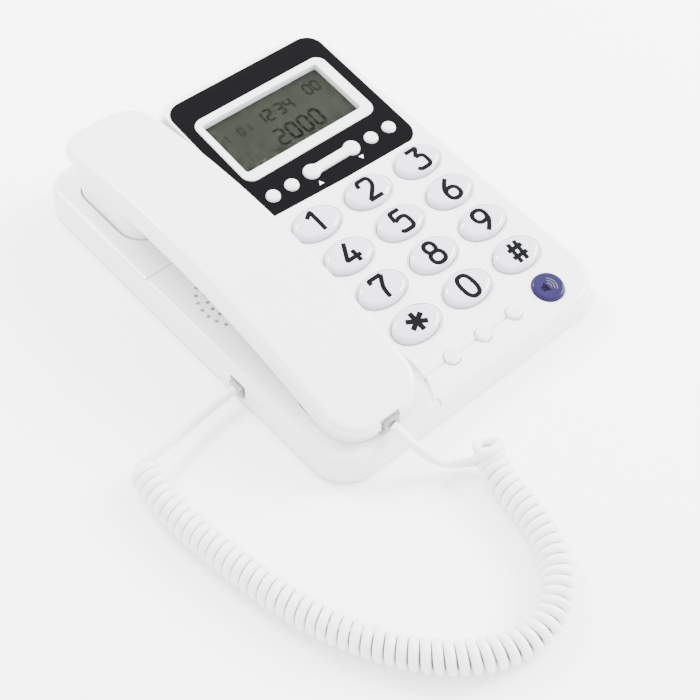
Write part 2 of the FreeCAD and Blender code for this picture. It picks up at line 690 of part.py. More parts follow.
def rocker():
    bottom = -SHELL_WALL - RUN_GAP
    body = rocker_outline(0.0, bottom - KEY_FLANGE_THICK / 2, ROCKER_RISE)
    body = body.makeFillet(ROCKER_BLEND, [e for e in body.Edges if e.BoundBox.ZLength > ROCKER_RISE])
    body = body.makeFillet(ROCKER_ROUND, [e for e in body.Edges if e.BoundBox.ZMin > ROCKER_RISE - 0.01])
    flange = rocker_outline(KEY_FLANGE, bottom - KEY_FLANGE_THICK - ROCKER_SWING,
                            bottom - ROCKER_SWING)
    neck = rocker_outline(-0.4, bottom - ROCKER_SWING, bottom)
    return one(fuse(body, flange, neck))


def display_panel():
    plate = panel_prism(0.0, PANEL_PROUD - PANEL_THICK, PANEL_PROUD)
    cuts = [frame_prism(SEAT_GAP, -5, 5), rocker_outline(RUN_GAP, -5, 5)]
    cuts += [disc(x, v, diameter + 2 * RUN_GAP, -5, 5) for name, x, v, diameter, _ in round_buttons()
             if name.startswith("panel")]
    return one(plate.cut(Part.makeCompound(cuts)))


def display_frame():
    ring = frame_prism(0.0, PANEL_PROUD - PANEL_THICK, FRAME_PROUD)
    top = [e for e in ring.Edges if e.BoundBox.ZMin > FRAME_PROUD - 0.01]
    return one(ring.makeFillet(0.7, top).cut(window_prism(0.0, -5, 5)))


def display_window():
    return window_prism(-SEAT_GAP, -WINDOW_SINK - WINDOW_THICK, -WINDOW_SINK)


def lcd_module():
    top = -WINDOW_SINK - WINDOW_THICK
    return window_prism(-0.5, top - LCD_THICK, top)


def lcd_holder():
    top = -SHELL_WALL
    floor = -WINDOW_SINK - WINDOW_THICK - LCD_THICK
    tray = window_prism(LCD_MARGIN, floor - HOLDER_FLOOR, top)
    return one(tray.cut(window_prism(0.0, floor, 5)))


def board(x0, y0, x1, y1, depth):
    return rounded_prism(x0, up_slope(y0), x1, up_slope(y1), 2.0, -depth - BOARD_THICK, -depth)


def keypad_board():
    return board(*KEYPAD_BOARD, KEYPAD_BOARD_DEPTH)


def display_board():
    return board(*DISPLAY_BOARD, KEYPAD_BOARD_DEPTH)


def keypad_membrane():
    """Rubber sheet on the keypad board, open under each stem and round the posts."""
    x0, y0, x1, y1 = KEYPAD_BOARD
    sheet = rounded_prism(x0 + 1, up_slope(y0) + 1, x1 - 1, up_slope(y1) - 1, 0.8, -KEYPAD_BOARD_DEPTH,
                          -KEYPAD_BOARD_DEPTH + MEMBRANE_THICK)
    half_x = KEY_HALF_LENGTH * STEM_SHARE + RUN_GAP
    half_y = KEY_HALF_DEPTH * STEM_SHARE + RUN_GAP
    cuts = [ellipse_prism(x, v, half_x, half_y, -20, 0) for _, x, v in key_places()]
    cuts += [disc(x, v, diameter * STEM_SHARE + 2 * RUN_GAP, -20, 0) for name, x, v, diameter, _
             in round_buttons() if not name.startswith("panel")]
    cuts += [disc(x, up_slope(y), POST_DIAMETER + 1, -20, 0) for x, y in BOARD_POSTS]
    return one(sheet.cut(Part.makeCompound(cuts)))


# ---------------------------------------------------------------- pieces inside the base
def main_board():
    return rounded_prism(*MAIN_BOARD, 2.0, MAIN_BOARD_Z, MAIN_BOARD_Z + BOARD_THICK)


def ringer_speaker():
    top = CRADLE_FLOOR - SHELL_WALL
    return fuse(disc(GRILLE_X, GRILLE_Y, SPEAKER_DIAMETER, top - 2.4, top),
                disc(GRILLE_X, GRILLE_Y, SPEAKER_DIAMETER * 0.5, top - SPEAKER_DEPTH, top - 2.4))


def speaker_retainer():
    top = CRADLE_FLOOR - SHELL_WALL
    z0 = top - 2.4 - RETAINER_THICK
    ring = disc(GRILLE_X, GRILLE_Y, SPEAKER_DIAMETER, z0, top - 2.4)
    pieces = []
    for side in (-1, 1):
        y = GRILLE_Y + side * (SPEAKER_DIAMETER / 2 + 3)
        pieces.append(disc(GRILLE_X, y, 5.0, z0, top))
    bar = box(GRILLE_X - 2.5, GRILLE_Y - SPEAKER_DIAMETER / 2 - 3, z0, GRILLE_X + 2.5,
              GRILLE_Y + SPEAKER_DIAMETER / 2 + 3, top - 2.4)
    body = fuse(ring, bar, *pieces)
    return one(body.cut(disc(GRILLE_X, GRILLE_Y, SPEAKER_DIAMETER - 8, 0, top - 2.4)))


def base_microphone():
    return disc(BASE_MIC_X, BASE_MIC_Y, 6.0, SHELL_INNER, SHELL_INNER + 3.6)


def hook_plunger():
    x, y = HOOK_X, HOOK_Y
    half_x = HOOK_LENGTH / 2
    half_y = HOOK_WIDTH / 2
    stem = rounded_prism(x - half_x, y - half_y, x + half_x, y + half_y, 2.5, HOOK_BOTTOM, EAR_WELL_FLOOR)
    flange = box(x - half_x - 1.2, y - half_y - 1.2, HOOK_BOTTOM, x + half_x + 1.2, y + half_y + 1.2,
                 HOOK_BOTTOM + 1.2)
    return fuse(stem, flange)


def hook_switch():
    x0 = HOOK_X + HOOK_LENGTH / 2 + 1.2 + 0.6
    body = box(x0, HOOK_Y - 3, SHELL_INNER, x0 + 9, HOOK_Y + 3, SHELL_INNER + 5.5)
    lever = box(x0 + 1, HOOK_Y - 2, SHELL_INNER + 5.5, x0 + 8, HOOK_Y + 2, SHELL_INNER + 5.9)
    return fuse(body, lever)


def handset_socket():
    body = socket_hole().common(box(1.2, 0, 0, 40, BASE_DEPTH, TALL))
    half = PLUG_WIDTH / 2 + SEAT_GAP
    room = box(0, SOCKET_Y - half, SOCKET_Z - PLUG_HEIGHT / 2, SOCKET_DEPTH, SOCKET_Y + half,
               SOCKET_Z + PLUG_HEIGHT / 2)
    return one(body.cut(room))


def line_socket():
    back = BASE_DEPTH - REAR_LEAN * (LINE_SOCKET_Z + PLUG_HEIGHT / 2 + SOCKET_WALL) - 0.6
    body = line_socket_hole().common(box(0, 0, 0, BASE_WIDTH, back, TALL))
    half = LINE_PLUG_WIDTH / 2
    room = box(LINE_SOCKET_X - half, LINE_SOCKET_INNER_Y + 2, LINE_SOCKET_Z - PLUG_HEIGHT / 2,
               LINE_SOCKET_X + half, BASE_DEPTH, LINE_SOCKET_Z + PLUG_HEIGHT / 2)
    key_way = box(LINE_SOCKET_X - 1.6, LINE_SOCKET_INNER_Y + 2, LINE_SOCKET_Z - PLUG_HEIGHT / 2 - 0.8,
                  LINE_SOCKET_X + 1.6, BASE_DEPTH, LINE_SOCKET_Z)
    return one(body.cut(room).cut(key_way))


def ringer_knob():
    z0 = RINGER_Z - RINGER_HALF_HEIGHT
    z1 = RINGER_Z + RINGER_HALF_HEIGHT
    tip = BASE_DEPTH - REAR_LEAN * RINGER_Z + 2.0
    stem = box(RINGER_X - RINGER_HALF, RINGER_FLANGE_Y - 2, z0, RINGER_X + RINGER_HALF, tip, z1)
    flange = box(RINGER_X - RINGER_HALF - 2, RINGER_FLANGE_Y - 3, z0 - 1, RINGER_X + RINGER_HALF + 2,
                 RINGER_FLANGE_Y - 1.5, z1 + 1)
    return one(fuse(stem, flange))


def ringer_switch_body():
    y1 = RINGER_FLANGE_Y - 3 - RUN_GAP
    return box(RINGER_X - 6, y1 - 6, SHELL_INNER, RINGER_X + 6 + RINGER_TRAVEL, y1,
               RINGER_Z + RINGER_HALF_HEIGHT + 2)


def plug(length):
    """Clear modular plug pointing along +Y from the origin, with its sprung latch."""
    high = PLUG_HEIGHT / 2 - SEAT_GAP
    body = box(-PLUG_WIDTH / 2, 0, -high, PLUG_WIDTH / 2, length, high)
    waist = PLUG_WIDTH / 2 - 1.6
    notch = box(-waist, length - 5, PLUG_HEIGHT / 2 - 1.2, waist, length - 2, PLUG_HEIGHT)
    return one(body.cut(notch))


# ---------------------------------------------------------------- handset
def arch_centre():
    """Centre (y, z) of the arch through the front and back ends of the outer shell's lip."""
    dy = HANDSET_BACK - HANDSET_FRONT
    dz = LIP_BACK - LIP_FRONT
    chord = math.hypot(dy, dz)
    drop = math.sqrt(ARCH_RADIUS ** 2 - (chord / 2) ** 2)
    return (HANDSET_FRONT + dy / 2 + drop * dz / chord, LIP_FRONT + dz / 2 - drop * dy / chord)


def arch_band(low, high):
    """Curved slab between two offsets from the lip's arch."""
    y, z = arch_centre()
    base = Vector(HANDSET_LEFT - 10, y, z)
    axis = Vector(1, 0, 0)
    width = HANDSET_RIGHT - HANDSET_LEFT + 20
    outer = Part.makeCylinder(ARCH_RADIUS + high, width, base, axis)
    inner = Part.makeCylinder(ARCH_RADIUS + low, width, base, axis)
    return outer.cut(inner)


def handset_outline(inset, z0, z1):
    return rounded_prism(HANDSET_LEFT + inset, HANDSET_FRONT + inset, HANDSET_RIGHT - inset,
                         HANDSET_BACK - inset, HANDSET_CORNER - inset, z0, z1)


def arch_height(y, offset):
    centre_y, centre_z = arch_centre()
    return centre_z + math.sqrt((ARCH_RADIUS + offset) ** 2 - (y - centre_y) ** 2)


def handset_socket_block(margin):
    half = PLUG_WIDTH / 2 + SEAT_GAP + SOCKET_WALL - margin
    high = PLUG_HEIGHT / 2 + SOCKET_WALL - margin
    return box(HANDSET_X - half, 0, HANDSET_SOCKET_Z - high, HANDSET_X + half,
               HANDSET_FRONT + 0.6 + SOCKET_DEPTH - margin, HANDSET_SOCKET_Z + high)


def handset_outer_shell():
    cap = one(arch_band(0.0, CAP_SIDE).common(handset_outline(0.0, 0, TALL + 20)))
    centre_y, centre_z = arch_centre()

    def on_top(point):
        radius = math.hypot(point.y - centre_y, point.z - centre_z)
        return abs(radius - ARCH_RADIUS - CAP_SIDE) < 0.01

    cap = cap.makeFillet(CAP_ROUND, edges_where(cap, on_top))
    room = arch_band(-5.0, CAP_SIDE - CAP_WALL).common(handset_outline(CAP_WALL, 0, TALL + 20))
    cap = cap.cut(room)
    bosses = [disc(HANDSET_X, y, BOSS_DIAMETER, 0, TALL + 20).common(arch_band(0.0, CAP_SIDE - 1))
              for y in HANDSET_SCREWS]
    cap = fuse(cap, *bosses)
    cuts = [handset_socket_block(0.0)]
    cuts += [disc(HANDSET_X, y, SCREW_SHANK, 0, arch_height(y, 2.0)) for y in HANDSET_SCREWS]
    return one(cap.cut(Part.makeCompound(cuts)))


def handset_inner_body(inset):
    """Grip, ear cup and mouth cup as one outside shape, or the hollow when inset is the wall."""
    grip = arch_band(-GRIP_DEPTH + inset, 0.0).common(handset_outline(GRIP_INSET + inset, 0, TALL))
    grip = grip.common(above(CRADLE_FLOOR + REST_GAP + inset))
    y, z = arch_centre()
    under_arch = Part.makeCylinder(ARCH_RADIUS, 80, Vector(HANDSET_LEFT - 10, y, z), Vector(1, 0, 0))
    ear = ear_outline(-inset, EAR_WELL_FLOOR + REST_GAP + inset, TALL).common(under_arch)
    mouth = mouth_outline(-inset, MOUTH_WELL_FLOOR + REST_GAP + inset, TALL).common(under_arch)
    return one(fuse(grip, ear, mouth))


def sound_holes(x, y, rings, z0, z1):
    holes = [disc(x, y, GRILLE_HOLE, z0, z1)]
    for radius in rings:
        count = int(round(2 * math.pi * radius / 4.0))
        for i in range(count):
            angle = 2 * math.pi * i / count
            at_x = x + radius * math.cos(angle)
            at_y = y + radius * math.sin(angle)
            holes.append(disc(at_x, at_y, GRILLE_HOLE, z0, z1))
    return holes


def handset_inner_shell():
    shell = handset_inner_body(0.0)
    room = handset_inner_body(CAP_WALL)
    shell = shell.cut(room)
    posts = [disc(HANDSET_X, y, BOSS_DIAMETER, arch_height(y, -GRIP_DEPTH + 1), TALL).common(
        arch_band(-GRIP_DEPTH, 0.0)) for y in HANDSET_SCREWS]
    shell = fuse(shell, *posts)
    cuts = [handset_socket_block(0.0)]
    for y in HANDSET_SCREWS:
        cuts.append(disc(HANDSET_X, y, SCREW_SHANK + 0.4, 0, TALL))
        cuts.append(disc(HANDSET_X, y, SCREW_HEAD + 0.6, 0, arch_height(y, -GRIP_DEPTH + 4)))
    cuts += sound_holes(HANDSET_X, EAR_CENTRE_Y, (4.2, 8.4), EAR_WELL_FLOOR, EAR_WELL_FLOOR + 4)
    cuts += sound_holes(HANDSET_X, MIC_Y, (2.6,), MOUTH_WELL_FLOOR, MOUTH_WELL_FLOOR + 4)
    return one(shell.cut(Part.makeCompound(cuts)))


def handset_screws():
    screws = []
    for y in HANDSET_SCREWS:
        seat = arch_height(y, -GRIP_DEPTH + 4)
        screws.append(screw(HANDSET_X, y, seat - 1.8, seat, arch_height(y, 2.0)))
    return Part.makeCompound(screws)


def earpiece_receiver():
    z = EAR_WELL_FLOOR + REST_GAP + CAP_WALL
    return fuse(disc(HANDSET_X, EAR_CENTRE_Y, 31.0, z, z + 3.5),
                disc(HANDSET_X, EAR_CENTRE_Y, 17.0, z, z + 8))


def microphone_capsule():
    z = MOUTH_WELL_FLOOR + REST_GAP + CAP_WALL
    return disc(HANDSET_X, MIC_Y, 9.6, z, z + 5.0)


def handset_weight():
    z = arch_height(WEIGHT_BACK, -GRIP_DEPTH + CAP_WALL)
    return box(HANDSET_X - 9, WEIGHT_FRONT, z, HANDSET_X + 9, WEIGHT_BACK, z + 5.5)


def handset_jack():
    body = handset_socket_block(0.0).cut(box(0, -5, 0, 100, HANDSET_FRONT + 0.6, TALL))
    half = PLUG_WIDTH / 2 + SEAT_GAP
    room = box(HANDSET_X - half, 0, HANDSET_SOCKET_Z - PLUG_HEIGHT / 2, HANDSET_X + half,
               HANDSET_FRONT + 0.6 + SOCKET_DEPTH - 1.4, HANDSET_SOCKET_Z + PLUG_HEIGHT / 2)
    return one(body.cut(room))


def handset_cord_plug():
    shape = plug(PLUG_LENGTH)
    shape.translate(Vector(HANDSET_X, HANDSET_FRONT - 1.2, HANDSET_SOCKET_Z - SEAT_GAP))
    return shape


def base_cord_plug():
    shape = plug(PLUG_LENGTH)
    shape.rotate(Vector(0, 0, 0), Vector(0, 0, 1), -90)
    shape.translate(Vector(-1.2, SOCKET_Y, SOCKET_Z - SEAT_GAP))
    return shape


# ---------------------------------------------------------------- cord
def route_wire(points):
    """Straight runs joined by tangent arcs; prints the tightest radius."""
    knots = [Vector(*p) for p in points]
    edges = []
    tightest = 1e9
    at = knots[0]
    for before, corner, after in zip(knots, knots[1:], knots[2:]):
        a = (before - corner).normalize()
        b = (after - corner).normalize()
        turn = math.pi - a.getAngle(b)
        reach = 0.45 * min((before - corner).Length, (after - corner).Length)
        radius = reach / math.tan(turn / 2)
        tightest = min(tightest, radius)
        start = corner + a * reach
        stop = corner + b * reach
        inward = (a + b).normalize()
        middle = corner + inward * (radius / math.cos(turn / 2) - radius)
        edges.append(Part.LineSegment(at, start).toShape())
        edges.append(Part.Arc(start, middle, stop).toShape())
        at = stop
    edges.append(Part.LineSegment(at, knots[-1]).toShape())
    print("cord run of %.1f mm, tightest bend %.1f mm" % (sum(e.Length for e in edges), tightest))
    return Part.Wire(edges)


def tube(points, diameter):
    spine = route_wire(points)
    start = Vector(*points[0])
    along = (Vector(*points[1]) - start).normalize()
    ring = Part.Wire(Part.Circle(start, along, diameter / 2).toShape())
    solid = spine.makePipeShell([ring], True, False)
    section = math.pi * diameter ** 2 / 4
    print("tube volume over section times length: %.4f" % (solid.Volume / (section * spine.Length)))
    return solid


# ---------------------------------------------------------------- all nodes
def main():
    os.makedirs("parts", exist_ok=True)
    outside = base_outside()
    inside = base_inside()
    export("base_top_shell", base_top_shell(outside, inside))
    export("base_bottom_shell", base_bottom_shell(outside, inside))
    export("rubber_feet", rubber_feet())
    export("base_screws", base_screws())
    export("battery_door", battery_door())
    export("battery_door_screw", battery_door_screw())
    export("battery_cells", battery_cells())
    export("battery_contacts", battery_contacts())
    for name, x, v in key_places():
        export(name, on_deck(key(x, v)))
    for name, x, v, diameter, rise in round_buttons():
        export(name, on_deck(round_button(x, v, diameter, rise)))
    export("volume_rocker", on_deck(rocker()))
    export("display_panel", on_deck(display_panel()))
    export("display_frame", on_deck(display_frame()))
    export("display_window", on_deck(display_window()))
    export("lcd_module", on_deck(lcd_module()))
    export("lcd_holder", on_deck(lcd_holder()))
    export("keypad_membrane", on_deck(keypad_membrane()))
    export("keypad_board", on_deck(keypad_board()))
    export("display_board", on_deck(display_board()))
    export("main_board", main_board())
    export("ringer_speaker", ringer_speaker())
    export("speaker_retainer", speaker_retainer())
    export("base_microphone", base_microphone())
    export("hook_plunger", hook_plunger())
    export("hook_switch", hook_switch())
    export("handset_socket", handset_socket())
    export("line_socket", line_socket())
    export("ringer_knob", ringer_knob())
    export("ringer_switch_body", ringer_switch_body())
    export("handset_outer_shell", handset_outer_shell())
    export("handset_inner_shell", handset_inner_shell())
    export("handset_screws", handset_screws())
    export("earpiece_receiver", earpiece_receiver())
    export("microphone_capsule", microphone_capsule())
    export("handset_weight", handset_weight())
    export("handset_jack", handset_jack())
    export("handset_cord_plug", handset_cord_plug())
    export("base_cord_plug", base_cord_plug())
    export("cord_lead_base", tube(LEAD_BASE_ROUTE, CORD_DIAMETER))
    export("cord_coil", tube(COIL_ROUTE, COIL_DIAMETER))
    export("cord_lead_handset", tube(LEAD_HANDSET_ROUTE, CORD_DIAMETER))


main()
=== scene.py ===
"""Looks of a corded desk telephone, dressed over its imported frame. Lengths are metres."""

import json
import logging
import math
from dataclasses import dataclass, field
from enum import Enum
from typing import Iterable, Sequence, Union

import bmesh
import bpy
from mathutils import Matrix, Vector


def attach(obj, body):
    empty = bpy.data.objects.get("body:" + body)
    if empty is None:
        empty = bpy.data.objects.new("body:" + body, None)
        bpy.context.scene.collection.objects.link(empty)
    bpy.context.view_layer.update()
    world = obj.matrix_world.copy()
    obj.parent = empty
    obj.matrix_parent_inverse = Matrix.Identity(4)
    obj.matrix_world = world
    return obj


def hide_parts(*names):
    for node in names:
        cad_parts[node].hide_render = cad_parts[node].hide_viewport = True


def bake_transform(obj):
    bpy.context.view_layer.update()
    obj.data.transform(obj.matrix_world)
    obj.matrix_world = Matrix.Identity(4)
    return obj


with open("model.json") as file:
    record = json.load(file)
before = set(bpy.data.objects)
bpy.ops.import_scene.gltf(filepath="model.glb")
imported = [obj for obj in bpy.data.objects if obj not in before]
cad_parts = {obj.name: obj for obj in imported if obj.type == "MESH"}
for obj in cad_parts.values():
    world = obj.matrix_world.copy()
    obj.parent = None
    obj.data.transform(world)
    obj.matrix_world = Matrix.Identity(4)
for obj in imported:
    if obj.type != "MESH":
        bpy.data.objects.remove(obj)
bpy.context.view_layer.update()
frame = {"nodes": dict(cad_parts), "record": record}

LOG = logging.getLogger("telephone")
MM = 0.001
BASE_WIDTH = 0.162
BASE_DEPTH = 0.230
DECK_FRONT = 0.0145
DECK_TILT = math.radians(9.5)

Number = Union[float, int, "Signal"]
Colour = tuple[float, float, float]


def desk(x: float, y: float, z: float) -> Vector:
    """Turns a place in millimetres from the base's front left corner into the frame's metres."""
    return Vector((x * MM - BASE_WIDTH / 2, y * MM - BASE_DEPTH / 2, z * MM))


def deck_matrix(x: float, y: float, lift: float) -> Matrix:
    """Gives the placement of a flat drawing lying on the sloping deck.

    Args:
        x: millimetres from the base's left edge.
        y: millimetres from the base's front edge, measured level.
        lift: millimetres above the deck's surface.

    Returns:
        A matrix whose XY plane is the deck's surface at that place.
    """
    place = desk(x, y, DECK_FRONT / MM + y * math.tan(DECK_TILT))
    turn = Matrix.Rotation(DECK_TILT, 4, "X")
    return Matrix.Translation(place) @ turn @ Matrix.Translation((0, 0, lift * MM))


# ---------------------------------------------------------------- shader tools
class Signal:
    """A number in a shader: an output socket that takes part in sums."""

    def __init__(self, bench: "Bench", socket: bpy.types.NodeSocket) -> None:
        """Keeps the socket and the bench that owns it."""
        self.bench = bench
        self.socket = socket

    def _sum(self, operation: str, first: Number, second: Number) -> "Signal":
        """Adds one Math node and gives its result."""
        return self.bench.node("ShaderNodeMath", {"operation": operation}, {0: first, 1: second})

    def __add__(self, other: Number) -> "Signal":
        """Signal plus a number."""
        return self._sum("ADD", self, other)

    def __radd__(self, other: Number) -> "Signal":
        """Number plus the signal."""
        return self._sum("ADD", other, self)

    def __mul__(self, other: Number) -> "Signal":
        """Signal times a number."""
        return self._sum("MULTIPLY", self, other)

    def __rmul__(self, other: Number) -> "Signal":
        """Number times the signal."""
        return self._sum("MULTIPLY", other, self)


class Bench:
    """One material's node tree, with its surface shader ready."""

    def __init__(self, name: str) -> None:
        """Starts an empty material of that name."""
        self.material = bpy.data.materials.new(name)
        self.material.use_nodes = True
        self.tree = self.material.node_tree
        self.tree.nodes.clear()
        self.output = self.tree.nodes.new("ShaderNodeOutputMaterial")
        self.surface = self.tree.nodes.new("ShaderNodeBsdfPrincipled")
        self.tree.links.new(self.surface.outputs[0], self.output.inputs[0])
        self.place = self.node("ShaderNodeTexCoord", {}, {}, "Object")

    def node(self, kind: str, settings: dict, inputs: dict, output: Union[int, str] = 0) -> Signal:
        """Adds any node.

        Args:
            kind: the node's type name.
            settings: properties set first; "stops" fills a colour ramp.
            inputs: values or signals by socket name or number.
            output: which result to give.

        Returns:
            The chosen output as a signal.
        """
        made = self.tree.nodes.new(kind)
        for key, value in settings.items():
            if key == "stops":
                for element, (at, colour) in zip(made.color_ramp.elements, value):
                    element.position = at
                    element.color = colour
            else:
                setattr(made, key, value)
        for key, value in inputs.items():
            self.feed(made.inputs[key], value)
        return Signal(self, made.outputs[output])

    def feed(self, socket: bpy.types.NodeSocket, value: object) -> None:
        """Links a signal to the socket, or sets the socket's own value."""
        if isinstance(value, Signal):
            self.tree.links.new(value.socket, socket)
        else:
            socket.default_value = value

    def set(self, **values: object) -> None:
        """Feeds the surface shader's sockets; underscores stand for spaces."""
        for key, value in values.items():
            self.feed(self.surface.inputs[key.replace("_", " ")], value)

    def noise(self, scale: float, detail: float = 2.0, rough: float = 0.5) -> Signal:
        """Gives a noise of that many lumps a metre, in the piece's own place."""
        return self.node("ShaderNodeTexNoise", {}, {"Vector": self.place, "Scale": scale, "Detail": detail,
                                                    "Roughness": rough})

    def tint(self, mask: Signal, low: Colour, high: Colour) -> Signal:
        """Blends two colours by a mask."""
        ramp = [(0.3, (*low, 1.0)), (0.7, (*high, 1.0))]
        return self.node("ShaderNodeValToRGB", {"stops": ramp}, {"Fac": mask})

    def bump(self, height: Signal, distance: float, strength: float = 0.5) -> Signal:
        """Gives a bumped normal."""
        inputs = {"Height": height, "Distance": distance, "Strength": strength}
        return self.node("ShaderNodeBump", {}, inputs, "Normal")


def shade(colour: Colour, factor: float) -> Colour:
    """Gives the colour made lighter or darker."""
    return tuple(min(1.0, c * factor) for c in colour)


class Way(Enum):
    """Which way an arrow on the panel points."""

    BACK = 1
    FRONT = -1


@dataclass(frozen=True)
class Moulding:
    """Moulded plastic: near even colour, faint flow marks and a fine skin."""

    name: str
    colour: Colour
    roughness: float = 0.25
    coat: float = 0.0
    grain: float = 900.0
    depth: float = 0.00001
    bend: float = 1.5

    def dress(self) -> bpy.types.Material:
        """Builds the plastic's material."""
        bench = Bench(self.name)
        cloud = bench.noise(24.0)
        skin = bench.noise(self.grain, 3.0)
        bench.set(Base_Color=bench.tint(cloud, shade(self.colour, 0.985), shade(self.colour, 1.01)),
                  Roughness=self.roughness * 0.85 + cloud * (self.roughness * 0.3),
                  Normal=bench.bump(skin, self.depth, 0.25))
        bench.set(Coat_Weight=self.coat, Coat_Roughness=0.05, IOR=self.bend)
        return bench.material


@dataclass(frozen=True)
class ClearMoulding:
    """See-through plastic with faint clouding."""

    name: str
    colour: Colour
    roughness: float = 0.06
    clear: float = 0.9
    bend: float = 1.4
    haze: float = 0.03

    def dress(self) -> bpy.types.Material:
        """Builds the clear plastic's material."""
        bench = Bench(self.name)
        cloud = bench.noise(60.0)
        bench.set(Base_Color=bench.tint(cloud, shade(self.colour, 0.97), self.colour),
                  Roughness=self.roughness + cloud * self.haze)
        bench.set(Transmission_Weight=self.clear, IOR=self.bend)
        return bench.material


@dataclass(frozen=True)
class BareMetal:
    """Plated or bare metal with fine streaks."""

    name: str
    colour: Colour
    roughness: float = 0.3

    def dress(self) -> bpy.types.Material:
        """Builds the metal's material."""
        bench = Bench(self.name)
        streak = bench.noise(400.0, 4.0, 0.7)
        bench.set(Base_Color=bench.tint(streak, shade(self.colour, 0.85), self.colour),
                  Roughness=self.roughness + streak * 0.15, Normal=bench.bump(streak, 0.00002, 0.2))
        bench.set(Metallic=1.0)
        return bench.material


@dataclass(frozen=True)
class CircuitBoard:
    """Green board with a network of darker and lighter tracks."""

    name: str

    def dress(self) -> bpy.types.Material:
        """Builds the board's material."""
        bench = Bench(self.name)
        tracks = bench.node("ShaderNodeTexVoronoi", {"feature": "DISTANCE_TO_EDGE"},
                            {"Vector": bench.place, "Scale": 160.0})
        line = bench.node("ShaderNodeMath", {"operation": "LESS_THAN"}, {0: tracks, 1: 0.08})
        bench.set(Base_Color=bench.tint(line, (0.01, 0.09, 0.03), (0.05, 0.24, 0.09)),
                  Roughness=0.35 + line * 0.15)
        return bench.material


class Finishes:
    """Every finish of the telephone, built once."""

    def __init__(self) -> None:
        """Builds the materials."""
        recipes = [
            Moulding("white_abs", (0.73, 0.73, 0.74), 0.24, 0.1),
            Moulding("black_panel", (0.0035, 0.0035, 0.004), 0.12, 0.0, 1200.0, 0.000004, 1.06),
            Moulding("silver_frame", (0.66, 0.675, 0.7), 0.28, 0.2),
            Moulding("lcd_grey", (0.022, 0.024, 0.019), 0.6, 0.0, 1500.0, 0.00001, 1.1),
            ClearMoulding("clear_window", (0.98, 0.99, 0.98), 0.0, 1.0, 1.03, 0.0),
            Moulding("pearl_button", (0.66, 0.66, 0.69), 0.14, 0.5),
            Moulding("clear_key", (0.5, 0.5, 0.575), 0.08, 0.5, 700.0),
            Moulding("purple_button", (0.014, 0.01, 0.045), 0.12, 0.0, bend=1.18),
            ClearMoulding("clear_plug", (0.9, 0.91, 0.92), 0.08, 0.75),
            Moulding("white_pvc", (0.76, 0.76, 0.77), 0.34, 0.1, 600.0, 0.00003),
            CircuitBoard("board_green"),
            Moulding("rubber_grey", (0.07, 0.07, 0.075), 0.7, 0.0, 500.0, 0.00005),
            BareMetal("steel", (0.62, 0.63, 0.65)),
            Moulding("dark_plastic", (0.035, 0.035, 0.04), 0.4),
            Moulding("battery_sleeve", (0.09, 0.12, 0.17), 0.25, 0.3),
            Moulding("black_ink", (0.004, 0.004, 0.005), 0.6, bend=1.08),
            Moulding("white_ink", (0.8, 0.8, 0.82), 0.4),
            Moulding("segment_ink", (0.004, 0.005, 0.004), 0.6, bend=1.08),
            # painted shade: mid grey that stands for the shadow inside the handset jack opening
            Moulding("socket_grey", (0.3, 0.3, 0.31), 0.35),
        ]
        self.made = {recipe.name: recipe.dress() for recipe in recipes}

    def __getitem__(self, name: str) -> bpy.types.Material:
        """Gives the material of that name."""
        return self.made[name]


# ---------------------------------------------------------------- workshop
def rounded(points: list, reach: float) -> list:
    """Gives a bent line with each corner turned over a short arc, so its stroke stays even."""
    out = [points[0]]
    for before, corner, after in zip(points, points[1:], points[2:]):
        middle = Vector(corner)
        first = middle + (Vector(before) - middle).normalized() * reach
        last = middle + (Vector(after) - middle).normalized() * reach
        for i in range(7):
            t = i / 6
            out.append(tuple(first * (1 - t) ** 2 + middle * 2 * t * (1 - t) + last * t ** 2))
    return out + [points[-1]]


